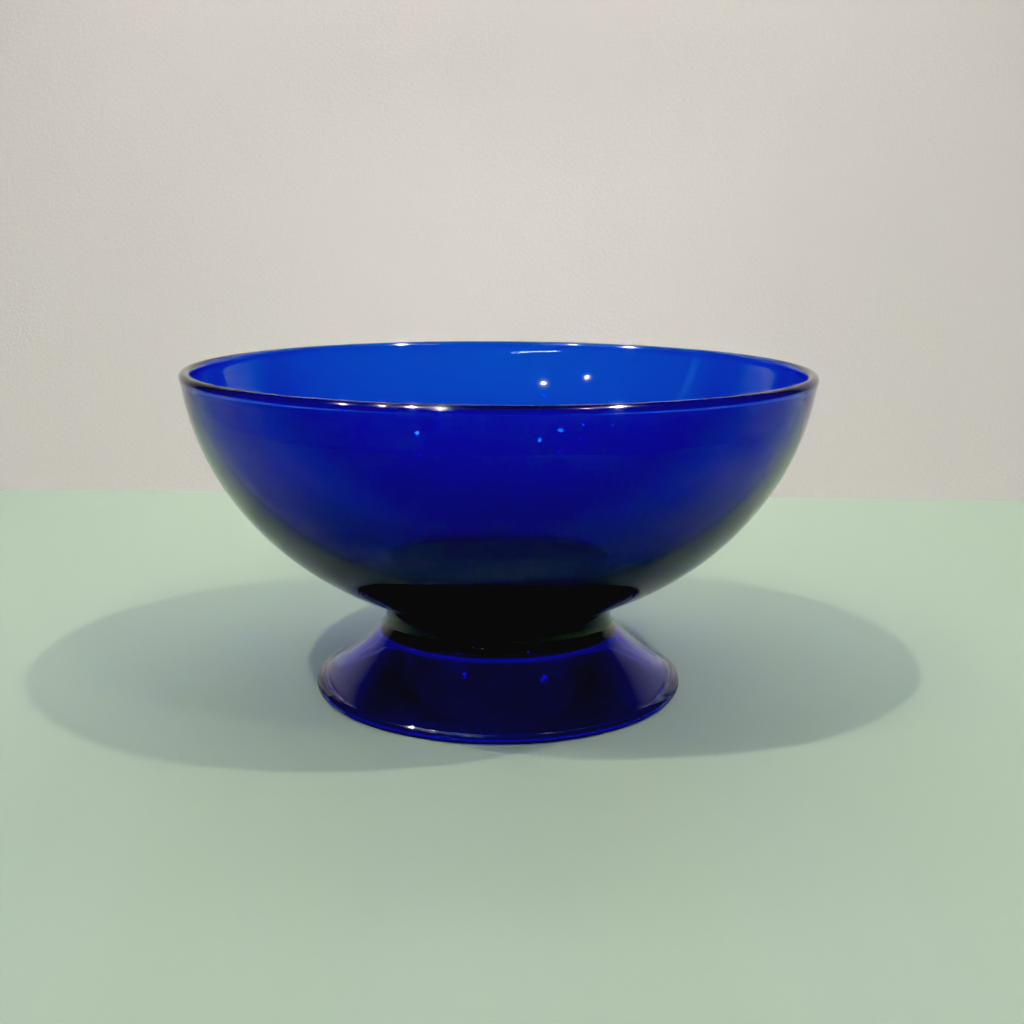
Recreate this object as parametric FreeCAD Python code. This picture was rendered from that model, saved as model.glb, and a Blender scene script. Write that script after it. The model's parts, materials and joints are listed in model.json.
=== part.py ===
"""A footed serving bowl in cobalt-blue glass, made of three pieces of glass that are fused while hot.

bowl         a half-ellipsoid cup with a fire-polished bead round its rim
neck_collar  the dished button of glass that joins the underside of the cup to the foot
foot         a flared foot, hollow underneath, that stands on a narrow flat ring

Every piece is turned about the Z axis. The origin is the centre of the standing ring, on the table plane.
Lengths are in millimetres. An outline is drawn in the XZ half-plane, as (radius, height) points.
"""

import FreeCAD
import Part
import math
import os

# Overall sizes
RIM_DIAMETER = 220.0
HEIGHT = 115.5
FOOT_DIAMETER = 132.4
WAIST_DIAMETER = 82.0

# Cup: its outside and inside are ellipses about one centre on the axis, a little above the rim
CUP_CENTRE_Z = 123.4
CUP_HALF_WIDTH = 110.3
CUP_HALF_HEIGHT = 98.4
WALL = 3.5
CUP_FLOOR = 8.5

# Rim: a round bead that stands a little proud of the outside wall and runs softly into both walls
BEAD_DIAMETER = 4.0
OUTER_GROOVE_RADIUS = 12.0
INNER_GROOVE_RADIUS = 6.0

# Collar: a concave side between the cup and the foot
COLLAR_TOP_RADIUS = 43.3
WAIST_Z = 28.2
WAIST_FOOT_Z = 24.2
WAIST_FOOT_RADIUS = 41.4
COLLAR_BASE_Z = 22.5

# Foot: a concave flare that ends in a rounded edge
FLARE_ARC_RADIUS = 66.0
FLARE_END_RADIUS = 64.4
FLARE_END_Z = 4.4
FOOT_EDGE_Z = 2.3
FOOT_WALL = 3.8
HOLLOW_TOP_Z = 20.5
HOLLOW_FILLET = 8.0
RING_OUTER_RADIUS = 64.6
RING_WIDTH = 2.6
RING_FILLET = 1.0

AXIS_POINT = FreeCAD.Vector(0, 0, 0)
AXIS_Z = FreeCAD.Vector(0, 0, 1)
FULL_TURN = 360.0

# How far apart two places may be and still count as the same, and when a search stops
SAME_PLACE = 0.01
CLOSE_ENOUGH = 1e-9


def point(radius, height):
    return FreeCAD.Vector(radius, 0, height)


def line(start, end):
    return Part.LineSegment(start, end).toShape()


def arc(start, through, end):
    return Part.Arc(start, through, end).toShape()


def turned(edges):
    """The solid that a closed outline sweeps in one full turn about the Z axis."""
    return Part.Face(Part.Wire(edges)).revolve(AXIS_POINT, AXIS_Z, FULL_TURN)


def softened(solid, corner, radius):
    """The solid with the sharp ring through one corner of its outline rounded to a radius."""
    ring = [edge for edge in solid.Edges if is_ring_through(edge, corner)]
    return solid.makeFillet(radius, ring)


def is_ring_through(edge, corner):
    box = edge.BoundBox
    flat = box.ZLength < SAME_PLACE and abs(box.ZMin - corner.z) < SAME_PLACE
    return flat and abs(box.XMax - corner.x) < SAME_PLACE and box.XLength > corner.x


class Ellipse:
    """One of the cup's two ellipses, with its long axis level and its centre on the Z axis."""

    def __init__(self, half_width, half_height):
        self.half_width = half_width
        self.half_height = half_height
        self.curve = Part.Ellipse(
            point(half_width, CUP_CENTRE_Z),
            point(0, CUP_CENTRE_Z - half_height),
            point(0, CUP_CENTRE_Z),
        )

    def at_height(self, height):
        share = (height - CUP_CENTRE_Z) / self.half_height
        return point(self.half_width * math.sqrt(1 - share**2), height)

    def at_radius(self, radius):
        share = radius / self.half_width
        return point(radius, CUP_CENTRE_Z - self.half_height * math.sqrt(1 - share**2))

    def bottom(self):
        return self.at_radius(0)

    def normal(self, height):
        """The direction square to the ellipse at a height, away from the axis."""
        radius = self.at_height(height).x
        slope = (height - CUP_CENTRE_Z) / self.half_height**2
        return point(radius / self.half_width**2, slope).normalize()

    def between(self, start, end):
        """The edge of the lower half of the ellipse between two of its points."""
        turns = sorted(self.curve.parameter(end_point) for end_point in (start, end))
        return Part.ArcOfEllipse(self.curve, *turns).toBSpline().toShape()


CUP_OUTSIDE = Ellipse(CUP_HALF_WIDTH, CUP_HALF_HEIGHT)
CUP_INSIDE = Ellipse(CUP_HALF_WIDTH - WALL, CUP_HALF_HEIGHT - CUP_FLOOR)


def bead_centre():
    bead_radius = BEAD_DIAMETER / 2
    return point(RIM_DIAMETER / 2 - bead_radius, HEIGHT - bead_radius)


def groove(ellipse, side, radius):
    """The round groove between the bead and a wall below it, as three points from the wall to the bead.

    The side is +1 on the outside of the cup and -1 on the inside.
    """
    bead_radius = BEAD_DIAMETER / 2
    reach = bead_radius + radius
    low, high = bead_centre().z - reach, bead_centre().z
    while high - low > CLOSE_ENOUGH:
        height = (low + high) / 2
        wall = ellipse.at_height(height)
        centre = wall + ellipse.normal(height) * side * radius
        if (centre - bead_centre()).Length > reach:
            low = height
        else:
            high = height
    to_bead = (bead_centre() - centre).normalize()
    to_wall = (wall - centre).normalize()
    middle = centre + (to_bead + to_wall).normalize() * radius
    return wall, middle, centre + to_bead * radius


def bowl():
    outer = groove(CUP_OUTSIDE, 1, OUTER_GROOVE_RADIUS)
    inner = groove(CUP_INSIDE, -1, INNER_GROOVE_RADIUS)
    return turned([
        CUP_OUTSIDE.between(outer[0], CUP_OUTSIDE.bottom()),
        arc(*outer),
        arc(outer[-1], point(bead_centre().x, HEIGHT), inner[-1]),
        arc(*inner),
        CUP_INSIDE.between(inner[0], CUP_INSIDE.bottom()),
        line(CUP_INSIDE.bottom(), CUP_OUTSIDE.bottom()),
    ])


def flare_centre():
    """The centre of the flare's arc, which lies outside the glass, above the foot."""
    top = point(WAIST_FOOT_RADIUS, WAIST_FOOT_Z)
    end = point(FLARE_END_RADIUS, FLARE_END_Z)
    chord = end - top
    outward = FreeCAD.Vector(-chord.z, 0, chord.x).normalize()
    away = math.sqrt(FLARE_ARC_RADIUS**2 - (chord.Length / 2) ** 2)
    return (top + end) / 2 + outward * away


def on_flare(height, depth=0.0):
    """A point at a height on the flare, or on the curve that runs a depth inside it."""
    centre = flare_centre()
    arc_radius = FLARE_ARC_RADIUS + depth
    return point(centre.x - math.sqrt(arc_radius**2 - (height - centre.z) ** 2), height)


def flare(start_z, end_z, depth=0.0):
    middle_z = (start_z + end_z) / 2
    return arc(on_flare(start_z, depth), on_flare(middle_z, depth), on_flare(end_z, depth))


def neck_collar():
    seat_edge = CUP_OUTSIDE.at_radius(COLLAR_TOP_RADIUS)
    waist = point(WAIST_DIAMETER / 2, WAIST_Z)
    return turned([
        CUP_OUTSIDE.between(CUP_OUTSIDE.bottom(), seat_edge),
        arc(seat_edge, waist, on_flare(WAIST_FOOT_Z)),
        flare(WAIST_FOOT_Z, COLLAR_BASE_Z),
        line(on_flare(COLLAR_BASE_Z), point(0, COLLAR_BASE_Z)),
        line(point(0, COLLAR_BASE_Z), CUP_OUTSIDE.bottom()),
    ])


def foot():
    edge = point(FOOT_DIAMETER / 2, FOOT_EDGE_Z)
    ring_outer = point(RING_OUTER_RADIUS, 0)
    ring_inner = point(RING_OUTER_RADIUS - RING_WIDTH, 0)
    hollow_corner = on_flare(HOLLOW_TOP_Z, FOOT_WALL)
    hollow_foot = on_flare(FOOT_EDGE_Z, FOOT_WALL)
    blank = turned([
        line(point(0, COLLAR_BASE_Z), on_flare(COLLAR_BASE_Z)),
        flare(COLLAR_BASE_Z, FLARE_END_Z),
        arc(on_flare(FLARE_END_Z), edge, ring_outer),
        line(ring_outer, ring_inner),
        line(ring_inner, hollow_foot),
        flare(FOOT_EDGE_Z, HOLLOW_TOP_Z, FOOT_WALL),
        line(hollow_corner, point(0, HOLLOW_TOP_Z)),
        line(point(0, HOLLOW_TOP_Z), point(0, COLLAR_BASE_Z)),
    ])
    blank = softened(blank, ring_inner, RING_FILLET)
    return softened(blank, hollow_corner, HOLLOW_FILLET)


def main():
    os.makedirs("parts", exist_ok=True)
    for make in (bowl, neck_collar, foot):
        make().exportStep(f"parts/{make.__name__}.step")


main()
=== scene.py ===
"""The looks of a footed cobalt-blue glass bowl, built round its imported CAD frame.

Each piece of glass is turned again as a fine, smooth mesh from its own CAD node's outline. The bowl's
axis is the world's Z axis, the table is at height 0, and lengths are in metres.
"""

import json
import math

import bpy
import numpy as np
from mathutils import Matrix, Vector, noise


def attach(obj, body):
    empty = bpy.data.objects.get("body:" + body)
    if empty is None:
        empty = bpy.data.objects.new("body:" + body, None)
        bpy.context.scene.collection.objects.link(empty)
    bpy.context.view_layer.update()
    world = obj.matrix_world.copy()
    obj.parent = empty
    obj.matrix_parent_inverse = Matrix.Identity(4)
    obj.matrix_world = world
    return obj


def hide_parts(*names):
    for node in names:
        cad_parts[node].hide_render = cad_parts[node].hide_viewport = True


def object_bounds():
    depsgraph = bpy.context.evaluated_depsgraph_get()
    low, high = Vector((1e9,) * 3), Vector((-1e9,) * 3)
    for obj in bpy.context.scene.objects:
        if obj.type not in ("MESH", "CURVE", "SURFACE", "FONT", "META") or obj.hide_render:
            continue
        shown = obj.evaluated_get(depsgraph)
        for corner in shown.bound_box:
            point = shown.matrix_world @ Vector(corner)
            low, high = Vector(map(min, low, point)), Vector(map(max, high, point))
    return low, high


MM = 0.001
BODY = "root"

# Outlines: where a CAD mesh counts as lying on its seam, and where two pieces count as fused together
SEAM_NEAR = 0.1e-3 * MM
SEAM_DIGITS = 7
FUSED_NEAR = 0.09 * MM
WELL_INSIDE = (0.02, 0.98)
CORNER_TURN = math.radians(60)
OUTLINE_STEP = 1.0 * MM

# Glass meshes: fused faces are held a hair apart, and all others carry a very shallow wave
STEPS_ROUND = 288
SHARP_TURN = math.radians(40)
FUSE_GAP = 0.02 * MM
WAVE_DEPTH = 0.04 * MM
WAVE_LENGTH = 45.0 * MM
WAVE_SEED = Vector((3.1, 7.7, 1.9))

# Glass material: it bends no light where pieces are fused, and its gloss varies with wiping and wear
GLASS_IOR = 1.5
FUSED_IOR = 1.0
GLASS_ROUGHNESS = (0.035, 0.07)
WIPE_SIZE = 22.0 * MM
WIPE_DETAIL = 5.0
WIPE_SPAN = (0.45, 0.72)
WEAR_HEIGHTS = (0.15 * MM, 0.6 * MM)
WEAR_ROUGHNESS = (0.3, 0.0)
ABSORBED_PER_MM = (0.78, 0.56, 0.128)
GLASS_DEPTH = {"bowl": 1.0, "neck_collar": 1.0, "foot": 0.8}

# The bumpy grain of the table and the wall
GRAIN_DETAIL = 3

# Table
TABLE_WIDTH = 4.0
TABLE_FRONT = 1.6
TABLE_PAST_WALL = 0.2
TABLE_COLOUR = (0.435, 0.49, 0.425)
TABLE_ROUGHNESS = 0.55
TABLE_GRAIN = 0.5 * MM
TABLE_GRAIN_DEPTH = 0.02 * MM

# Wall: painted shade darkens its paint between two distances from the middle of its lower edge, down to a
# share left, standing in for the lamps' light falling off up and to the sides
WALL_DISTANCE = 353.0 * MM
WALL_TURN = math.radians(-1.8)
WALL_WIDTH = 4.0
WALL_HEIGHT = 2.4
WALL_COLOUR = (0.76, 0.71, 0.695)
WALL_ROUGHNESS = 0.6
WALL_GRAIN = 2.0 * MM
WALL_GRAIN_DEPTH = 0.2 * MM
WALL_SHADE_SPAN = (0.30, 0.80)
WALL_SHADE_LEFT = 0.15

# Lamps: (name, direction from the rim's centre, watts that light the room, watts seen only as a glint)
LAMP_HEIGHT = 1.7
LAMP_SIZE = 0.044
LAMPS = (
    ("lamp_right", (60, -30, 113.5), 9.5, 180),
    ("lamp_right_front", (57, -73, 113.5), 4.5, 70),
    ("lamp_left", (-46, -42, 113.5), 9.5, 280),
    ("lamp_left_inner", (-28, -35, 113.5), 0, 14),
    ("lamp_left_far", (-70, -50, 113.5), 4.0, 25),
    ("lamp_left_edge", (-93, -30, 113.5), 0, 160),
    ("lamp_front_left", (-52, -134, 90), 1.2, 30),
    ("lamp_front_far_left", (-118, -137, 90), 1.2, 20),
)
LAMP_COLOUR = (1.0, 0.97, 0.88)

# Lights that are seen only as reflections: (name, place, size, roll in degrees, watts)
REFLECTED = (
    ("light_bar", (-0.37, -1.285, 0.415), (0.51, 0.012), 7.5, 0.9),
    ("window_strip", (-1.4, 0.05, 0.52), (0.10, 0.55), 0.0, 0.12),
)
REFLECTED_AIM = (0.0, 0.09, 0.105)
WINDOW_COLOUR = (0.85, 0.92, 1.0)

# Soft lights that are never seen themselves: (name, place, aim, size, spread in degrees, watts)
UNSEEN = (
    ("soft_behind", (0.0, 0.13, 0.32), (0.0, 0.353, 0.075), (0.30, 0.02), 70, 0.035),
    ("soft_above_back", (0.0, 0.24, 0.65), (0.0, 0.22, 0.0), (0.8, 0.12), 170, 1.2),
)

# The room's soft light, by how high it comes from: dim near the horizon and brighter above
AMBIENT_COLOUR = (0.80, 0.87, 1.05)
AMBIENT_RISE = (0.1, 0.7)
AMBIENT_STRENGTH = (0.12, 0.60)

# Camera
CAMERA_PLACE = Vector((0.0, -0.4720, 0.16216))
CAMERA_DOWN = math.radians(11.865)
CAMERA_RIGHT = math.radians(0.571)
CAMERA_ROLL = math.radians(0.375)
LENS_MM = 47.11
SENSOR_MM = 36.0
NEAREST_SEEN = 10.0 * MM

# Camera response
RESPONSE_SATURATION = 1.6
RESPONSE_BLACK = 0.0028
RESPONSE_TOE = ((0.0, 0.0), (0.02, 0.001), (0.06, 0.040), (0.15, 0.14), (1.0, 1.0))
BLOOM_SIZE = 0.2
BLOOM_STRENGTH = 0.3

# Light paths
GLASS_BOUNCES = 24
GLOSSY_BOUNCES = 12
DIFFUSE_BOUNCES = 4
BRIGHTEST_BOUNCE = 20.0

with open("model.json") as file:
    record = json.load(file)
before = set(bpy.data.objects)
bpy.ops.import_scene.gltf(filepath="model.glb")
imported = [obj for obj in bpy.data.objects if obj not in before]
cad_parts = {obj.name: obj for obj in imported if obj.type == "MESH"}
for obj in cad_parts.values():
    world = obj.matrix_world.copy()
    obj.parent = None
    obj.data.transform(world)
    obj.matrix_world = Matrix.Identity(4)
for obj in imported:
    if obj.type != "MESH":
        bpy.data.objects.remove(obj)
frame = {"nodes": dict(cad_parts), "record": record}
cad_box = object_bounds()


# ---------- outlines ----------


def seam_chain(node):
    """The corners of a CAD node's mesh along its XZ half-plane, in order, as (radius, height) rows."""
    mesh = frame["nodes"][node].data
    spots = np.array([vertex.co for vertex in mesh.vertices])
    on_seam = (np.abs(spots[:, 1]) < SEAM_NEAR) & (spots[:, 0] > -SEAM_NEAR)
    keys, key_of = {}, {}
    for index in np.flatnonzero(on_seam):
        radius, height = float(spots[index, 0]), float(spots[index, 2])
        key = round(radius, SEAM_DIGITS), round(height, SEAM_DIGITS)
        key_of[int(index)] = keys.setdefault(key, len(keys))
    touching = {key: set() for key in keys.values()}
    for edge in mesh.edges:
        start, end = (key_of.get(corner) for corner in edge.vertices)
        if start is not None and end is not None and start != end:
            touching[start].add(end)
            touching[end].add(start)
    chain = [next(key for key, others in touching.items() if len(others) == 1)]
    while True:
        fresh = [key for key in touching[chain[-1]] if key not in chain]
        if not fresh:
            break
        chain.append(fresh[0])
    return np.array(list(keys))[chain]


def closed_to_axis(chain):
    """The chain with both of its ends carried level to the axis, where they aren't on it already."""
    parts = [chain]
    if chain[0, 0] > SEAM_NEAR:
        parts.insert(0, [[0.0, chain[0, 1]]])
    if chain[-1, 0] > SEAM_NEAR:
        parts.append([[0.0, chain[-1, 1]]])
    return np.vstack(parts)


def with_seats(chain, others):
    """The chain with the corners of its neighbours' outlines added where they lie on it."""
    rows = list(chain)
    for spot in others:
        for index in range(len(rows) - 1):
            start, end = rows[index], rows[index + 1]
            along = end - start
            share = float((spot - start) @ along / (along @ along))
            inside = WELL_INSIDE[0] < share < WELL_INSIDE[1]
            if inside and np.linalg.norm(start + along * share - spot) < FUSED_NEAR:
                rows.insert(index + 1, spot)
                break
    return np.array(rows)


def corner_rows(chain):
    """The rows of a chain at which it turns too sharply to be drawn as one smooth curve."""
    steps = np.diff(chain, axis=0)
    steps /= np.linalg.norm(steps, axis=1)[:, None]
    turns = np.arccos(np.clip((steps[1:] * steps[:-1]).sum(axis=1), -1, 1))
    return [0, *(np.flatnonzero(turns > CORNER_TURN) + 1).tolist(), len(chain) - 1]


def smooth_run(run):
    """A smooth curve through the points of a run, with points no further apart than the outline step."""
    before, after = 2 * run[0] - run[1], 2 * run[-1] - run[-2]
    if run[0, 0] < SEAM_NEAR:
        before = run[1] * (-1, 1)
    if run[-1, 0] < SEAM_NEAR:
        after = run[-2] * (-1, 1)
    spots = np.vstack([before, run, after])
    gaps = np.linalg.norm(np.diff(spots, axis=0), axis=1)
    slopes = np.diff(spots, axis=0) / gaps[:, None]
    left, right = gaps[:-1, None], gaps[1:, None]
    tangents = (slopes[:-1] * right + slopes[1:] * left) / (left + right)
    rows = [run[0]]
    for index, gap in enumerate(gaps[1:-1]):
        count = max(2, math.ceil(gap / OUTLINE_STEP))
        for t in np.linspace(0, 1, count + 1)[1:]:
            start, end = run[index], run[index + 1]
            pull_in, pull_out = tangents[index] * gap, tangents[index + 1] * gap
            rows.append(
                (2 * t**3 - 3 * t**2 + 1) * start
                + (t**3 - 2 * t**2 + t) * pull_in
                + (3 * t**2 - 2 * t**3) * end
                + (t**3 - t**2) * pull_out
            )
    return np.array(rows)


def smooth_outline(chain):
    corners = corner_rows(chain)
    runs = [smooth_run(chain[a : b + 1]) for a, b in zip(corners, corners[1:]) if b > a]
    outline = np.vstack([runs[0], *(run[1:] for run in runs[1:])])
    return np.clip(outline, chain.min(axis=0), chain.max(axis=0))


def distance_to_chain(spot, chain):
    starts, along = chain[:-1], np.diff(chain, axis=0)
    share = np.clip(((spot - starts) * along).sum(axis=1) / (along**2).sum(axis=1), 0, 1)
    return np.linalg.norm(starts + along * share[:, None] - spot, axis=1).min()


def fused_steps(outline, others):
    """For each step of an outline, whether its middle lies on the outline of another piece."""
    middles = (outline[1:] + outline[:-1]) / 2
    return np.array([
        any(distance_to_chain(middle, other) < FUSED_NEAR for other in others) for middle in middles
    ])


def inward_normals(outline):
    """The direction into the glass at each point of an outline."""
    steps = np.gradient(outline, axis=0)
    normals = np.stack([-steps[:, 1], steps[:, 0]], axis=1)
    normals /= np.linalg.norm(normals, axis=1)[:, None]
    middle = outline[:, 0] @ np.gradient(outline[:, 1])
    return normals if middle > 0 else -normals


# ---------- glass meshes ----------


def wave(spot):
    """How far into the glass the fire-polished surface dips at a spot, as a share of the wave depth."""
    return 0.5 + 0.5 * noise.noise(spot / WAVE_LENGTH + WAVE_SEED)


def turned_corners(outline, fused, steps):
    """The corners of a turned mesh, ring by ring, with a single corner where a ring is on the axis."""
    inward = inward_normals(outline)
    near_fused = np.zeros(len(outline), bool)
    near_fused[:-1] |= fused
    near_fused[1:] |= fused
    corners = []
    for index, (radius, height) in enumerate(outline):
        on_axis = index in (0, len(outline) - 1)
        for turn in range(1 if on_axis else steps):
            angle = math.tau * turn / steps
            out = Vector((math.cos(angle), math.sin(angle), 0))
            spot = out * radius + Vector((0, 0, height))
            push = out * inward[index, 0] + Vector((0, 0, inward[index, 1]))
            depth = FUSE_GAP / 2 if near_fused[index] else WAVE_DEPTH * wave(spot)
            corners.append(tuple(spot + push * depth))
    return corners


def band_faces(band, bands, steps):
    """The faces between two rings of a turned mesh, drawn in to the axis at the first and last bands."""
    ring = 1 + (band - 1) * steps
    last = 1 + (bands - 1) * steps
    for turn in range(steps):
        after = (turn + 1) % steps
        if band == 0:
            yield 0, 1 + turn, 1 + after
        elif band == bands - 1:
            yield last, ring + after, ring + turn
        else:
            yield ring + turn, ring + steps + turn, ring + steps + after, ring + after


def turned_mesh(name, outline, fused):
    """A closed mesh from an outline that starts and ends on the axis, with its fused faces marked."""
    steps = STEPS_ROUND
    bands = len(outline) - 1
    faces = [face for band in range(bands) for face in band_faces(band, bands, steps)]
    marks = np.repeat(fused.astype(float), steps).tolist()
    mesh = bpy.data.meshes.new(name)
    mesh.from_pydata(turned_corners(outline, fused, steps), [], faces)
    mesh.attributes.new("fused", "FLOAT", "FACE").data.foreach_set("value", marks)
    mesh.polygons.foreach_set("use_smooth", [True] * len(faces))
    return mesh


def outward_facing(mesh):
    """The mesh with its faces turned to face out of the glass."""
    volume = sum(face.center.dot(face.normal) * face.area for face in mesh.polygons)
    if volume < 0:
        mesh.flip_normals()
    return mesh


def mark_sharp(mesh):
    mesh.update()
    mesh.set_sharp_from_angle(angle=SHARP_TURN)


def make_glass():
    """One mesh of cobalt glass for each CAD node, in the node's place."""
    chains = {node: closed_to_axis(seam_chain(node)) for node in frame["nodes"]}
    slots = {part["node"]: part["material_slot"] for part in frame["record"]["subparts"]}
    for node, chain in chains.items():
        others = [other for name, other in chains.items() if name != node]
        corners = [spot for other in others for spot in other[corner_rows(other)]]
        outline = smooth_outline(with_seats(chain, corners))
        fused = fused_steps(outline, others)
        mesh = outward_facing(turned_mesh(f"glass_{node}", outline, fused))
        mark_sharp(mesh)
        mesh.materials.append(cobalt_glass(slots[node], GLASS_DEPTH[node]))
        piece = bpy.data.objects.new(f"glass_{node}", mesh)
        bpy.context.scene.collection.objects.link(piece)
        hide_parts(node)
        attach(piece, BODY)


# ---------- materials ----------


def new_material(name):
    material = bpy.data.materials.new(name)
    material.use_nodes = True
    tree = material.node_tree
    return material, tree, tree.nodes["Principled BSDF"], tree.nodes["Material Output"]


def eased(tree, value, span, results):
    """A value carried smoothly from a span to a pair of results, and held at them beyond its ends."""
    ranged = tree.nodes.new("ShaderNodeMapRange")
    ranged.interpolation_type = "SMOOTHSTEP"
    for key, number in zip(("From Min", "From Max", "To Min", "To Max"), (*span, *results)):
        ranged.inputs[key].default_value = number
    tree.links.new(value, ranged.inputs["Value"])
    return ranged.outputs["Result"]


def glass_roughness(tree):
    """Faint wiping marks all over, and a worn standing ring."""
    place = tree.nodes.new("ShaderNodeTexCoord")
    marks = tree.nodes.new("ShaderNodeTexNoise")
    marks.inputs["Scale"].default_value = 1 / WIPE_SIZE
    marks.inputs["Detail"].default_value = WIPE_DETAIL
    split = tree.nodes.new("ShaderNodeSeparateXYZ")
    total = tree.nodes.new("ShaderNodeMath")
    total.operation = "ADD"
    tree.links.new(place.outputs["Object"], marks.inputs["Vector"])
    tree.links.new(place.outputs["Object"], split.inputs["Vector"])
    tree.links.new(eased(tree, marks.outputs["Fac"], WIPE_SPAN, GLASS_ROUGHNESS), total.inputs[0])
    tree.links.new(eased(tree, split.outputs["Z"], WEAR_HEIGHTS, WEAR_ROUGHNESS), total.inputs[1])
    return total.outputs["Value"]


def cobalt_glass(name, depth):
    """Cobalt glass that absorbs a share, its depth, of what the deepest glass absorbs."""
    material, tree, surface, output = new_material(name)
    surface.inputs["Base Color"].default_value = (1, 1, 1, 1)
    surface.inputs["Transmission Weight"].default_value = 1.0
    tree.links.new(glass_roughness(tree), surface.inputs["Roughness"])
    fused = tree.nodes.new("ShaderNodeAttribute")
    fused.attribute_name = "fused"
    ior = tree.nodes.new("ShaderNodeMapRange")
    ior.inputs["To Min"].default_value = GLASS_IOR
    ior.inputs["To Max"].default_value = FUSED_IOR
    tree.links.new(fused.outputs["Fac"], ior.inputs["Value"])
    tree.links.new(ior.outputs["Result"], surface.inputs["IOR"])
    absorb = tree.nodes.new("ShaderNodeVolumeAbsorption")
    most = max(ABSORBED_PER_MM)
    absorb.inputs["Color"].default_value = (*(1 - part / most for part in ABSORBED_PER_MM), 1)
    absorb.inputs["Density"].default_value = most * depth / MM
    tree.links.new(absorb.outputs["Volume"], output.inputs["Volume"])
    return material


def plain_surface(name, colour, roughness, grain, depth):
    """A matt surface with a fine bumpy grain, given by its size and its depth."""
    material, tree, surface, _ = new_material(name)
    surface.inputs["Base Color"].default_value = (*colour, 1)
    surface.inputs["Roughness"].default_value = roughness
    surface.inputs["Specular IOR Level"].default_value = 0.0
    place = tree.nodes.new("ShaderNodeTexCoord")
    texture = tree.nodes.new("ShaderNodeTexNoise")
    texture.inputs["Scale"].default_value = 1 / grain
    texture.inputs["Detail"].default_value = GRAIN_DETAIL
    bump = tree.nodes.new("ShaderNodeBump")
    bump.inputs["Distance"].default_value = depth
    tree.links.new(place.outputs["Object"], texture.inputs["Vector"])
    tree.links.new(texture.outputs["Fac"], bump.inputs["Height"])
    tree.links.new(bump.outputs["Normal"], surface.inputs["Normal"])
    return material


def paint_shade_from_origin(material, near, far, left):
    """Paints shade into a material's colour: darker with distance from its object's origin, down to a
    share left.
    """
    tree = material.node_tree
    colour = tree.nodes["Principled BSDF"].inputs["Base Color"]
    place = tree.nodes.new("ShaderNodeTexCoord")
    length = tree.nodes.new("ShaderNodeVectorMath")
    length.operation = "LENGTH"
    tree.links.new(place.outputs["Object"], length.inputs[0])
    scaled = tree.nodes.new("ShaderNodeVectorMath")
    scaled.operation = "SCALE"
    scaled.inputs[0].default_value = colour.default_value[:3]
    share = eased(tree, length.outputs["Value"], (near, far), (1.0, left))
    tree.links.new(share, scaled.inputs["Scale"])
    tree.links.new(scaled.outputs["Vector"], colour)


# ---------- stage ----------


def sheet(name, corners, material):
    mesh = bpy.data.meshes.new(name)
    mesh.from_pydata(corners, [], [(0, 1, 2, 3)])
    mesh.materials.append(material)
    made = bpy.data.objects.new(name, mesh)
    bpy.context.scene.collection.objects.link(made)
    return made


def make_table():
    paint = plain_surface("table_top", TABLE_COLOUR, TABLE_ROUGHNESS, TABLE_GRAIN, TABLE_GRAIN_DEPTH)
    across, near, far = TABLE_WIDTH / 2, -TABLE_FRONT, WALL_DISTANCE + TABLE_PAST_WALL
    corners = [(-across, near, 0), (across, near, 0), (across, far, 0), (-across, far, 0)]
    sheet("table_top", corners, paint)


def make_wall():
    paint = plain_surface("wall_paint", WALL_COLOUR, WALL_ROUGHNESS, WALL_GRAIN, WALL_GRAIN_DEPTH)
    # painted shade: the wall's paint darkens away from the middle of its lower edge, for the lamps' light
    # falling off
    paint_shade_from_origin(paint, *WALL_SHADE_SPAN, WALL_SHADE_LEFT)
    across, top = WALL_WIDTH / 2, WALL_HEIGHT
    corners = [(-across, 0, 0), (across, 0, 0), (across, 0, top), (-across, 0, top)]
    wall = sheet("wall", corners, paint)
    wall.location.y = WALL_DISTANCE
    wall.rotation_euler.z = WALL_TURN


def make_light(name, place, aim, size, watts, colour, unseen_by=()):
    """An area light aimed at a point, left out for the kinds of ray it should not be seen by."""
    light = bpy.data.lights.new(name, "AREA")
    light.shape = "ELLIPSE" if size[0] == size[1] else "RECTANGLE"
    light.size, light.size_y = size
    light.energy = watts
    light.color = colour
    made = bpy.data.objects.new(name, light)
    made.location = place
    made.rotation_euler = (Vector(aim) - made.location).to_track_quat("-Z", "Y").to_euler()
    for kind in unseen_by:
        setattr(made, f"visible_{kind}", False)
    bpy.context.scene.collection.objects.link(made)
    return made


def seen_only_in_first_surface(light):
    """Leaves a light only its reflections in the surfaces the camera sees directly."""
    light.visible_diffuse = False
    light.visible_transmission = False
    light.data.cycles.max_bounces = 0


def make_lamp(name, direction, watts, glint_watts):
    """A ceiling lamp, with a twin in the same place that only adds to its glints on the glass."""
    rim = Vector((0, 0, cad_box[1][2]))
    aim = Vector(direction)
    place = rim + aim * (LAMP_HEIGHT - rim.z) / aim.z
    size = (LAMP_SIZE, LAMP_SIZE)
    if watts:
        make_light(name, place, rim, size, watts, LAMP_COLOUR)
    seen_only_in_first_surface(make_light(f"{name}_glint", place, rim, size, glint_watts, LAMP_COLOUR))


def make_lights():
    for lamp in LAMPS:
        make_lamp(*lamp)
    for name, place, size, roll, watts in REFLECTED:
        light = make_light(name, place, REFLECTED_AIM, size, watts, WINDOW_COLOUR)
        light.rotation_euler.rotate_axis("Z", math.radians(roll))
        seen_only_in_first_surface(light)
    for name, place, aim, size, spread, watts in UNSEEN:
        unseen_by = ("camera", "glossy", "transmission")
        light = make_light(name, place, aim, size, watts, (1, 1, 1), unseen_by)
        light.data.spread = math.radians(spread)


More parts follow.
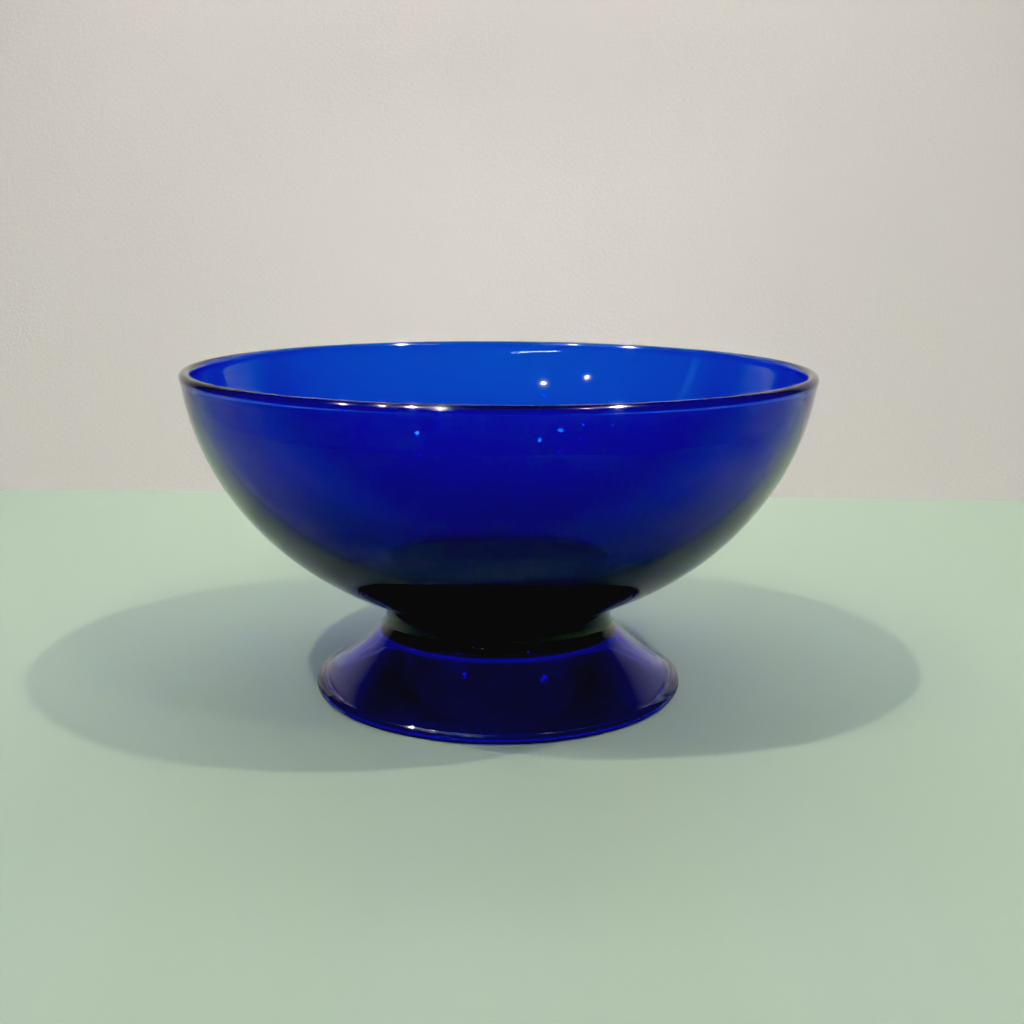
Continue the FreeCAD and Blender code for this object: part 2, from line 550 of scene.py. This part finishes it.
def make_room():
    """The soft light of the room all round the stage."""
    world = bpy.data.worlds.new("room")
    world.use_nodes = True
    tree = world.node_tree
    place = tree.nodes.new("ShaderNodeTexCoord")
    split = tree.nodes.new("ShaderNodeSeparateXYZ")
    tree.links.new(place.outputs["Generated"], split.inputs["Vector"])
    strength = eased(tree, split.outputs["Z"], AMBIENT_RISE, AMBIENT_STRENGTH)
    room = tree.nodes["Background"]
    room.inputs["Color"].default_value = (*AMBIENT_COLOUR, 1)
    tree.links.new(strength, room.inputs["Strength"])
    bpy.context.scene.world = world


def make_camera():
    ahead = Vector((
        math.sin(CAMERA_RIGHT) * math.cos(CAMERA_DOWN),
        math.cos(CAMERA_RIGHT) * math.cos(CAMERA_DOWN),
        -math.sin(CAMERA_DOWN),
    ))
    level = Vector((math.cos(CAMERA_RIGHT), -math.sin(CAMERA_RIGHT), 0))
    upright = level.cross(ahead)
    right = level * math.cos(CAMERA_ROLL) + upright * math.sin(CAMERA_ROLL)
    up = upright * math.cos(CAMERA_ROLL) - level * math.sin(CAMERA_ROLL)
    camera = bpy.data.cameras.new("camera")
    camera.lens = LENS_MM
    camera.sensor_width = SENSOR_MM
    camera.clip_start = NEAREST_SEEN
    made = bpy.data.objects.new("camera", camera)
    turn = Matrix((right, up, -ahead)).transposed().to_4x4()
    made.matrix_world = Matrix.Translation(CAMERA_PLACE) @ turn
    bpy.context.scene.collection.objects.link(made)
    bpy.context.scene.camera = made


def set_curve(mapping, spots):
    """Shapes a curve node's curve for all colours with straight lines between spots."""
    curve = mapping.curves[3]
    for spot in spots[1:-1]:
        curve.points.new(*spot)
    for point in curve.points:
        point.handle_type = "VECTOR"
    mapping.update()


def set_camera_response():
    """The camera's own response: a little bloom, deeper shadows, stronger colours and a floor of black."""
    scene = bpy.context.scene
    scene.view_settings.view_transform = "Standard"
    scene.use_nodes = True
    tree = scene.node_tree
    tree.nodes.clear()
    kinds = ("RLayers", "Glare", "CurveRGB", "ColorCorrection", "MixRGB", "Composite")
    made = [tree.nodes.new(f"CompositorNode{kind}") for kind in kinds]
    layers, bloom, curves, correct, black, shown = made
    bloom.glare_type = "BLOOM"
    bloom.quality = "HIGH"
    bloom.inputs["Size"].default_value = BLOOM_SIZE
    bloom.inputs["Strength"].default_value = BLOOM_STRENGTH
    set_curve(curves.mapping, RESPONSE_TOE)
    correct.inputs["Saturation"].default_value = RESPONSE_SATURATION
    black.blend_type = "LIGHTEN"
    black.inputs[2].default_value = (RESPONSE_BLACK, RESPONSE_BLACK, RESPONSE_BLACK, 1)
    tree.links.new(layers.outputs["Image"], bloom.inputs["Image"])
    tree.links.new(bloom.outputs["Image"], curves.inputs["Image"])
    tree.links.new(curves.outputs["Image"], correct.inputs["Image"])
    tree.links.new(correct.outputs["Image"], black.inputs[1])
    tree.links.new(black.outputs["Image"], shown.inputs["Image"])


def set_light_paths():
    cycles = bpy.context.scene.cycles
    cycles.max_bounces = GLASS_BOUNCES
    cycles.transmission_bounces = GLASS_BOUNCES
    cycles.glossy_bounces = GLOSSY_BOUNCES
    cycles.diffuse_bounces = DIFFUSE_BOUNCES
    cycles.sample_clamp_indirect = BRIGHTEST_BOUNCE
    cycles.use_denoising = True


make_glass()
make_table()
make_wall()
make_lights()
make_room()
make_camera()
set_light_paths()
set_camera_response()
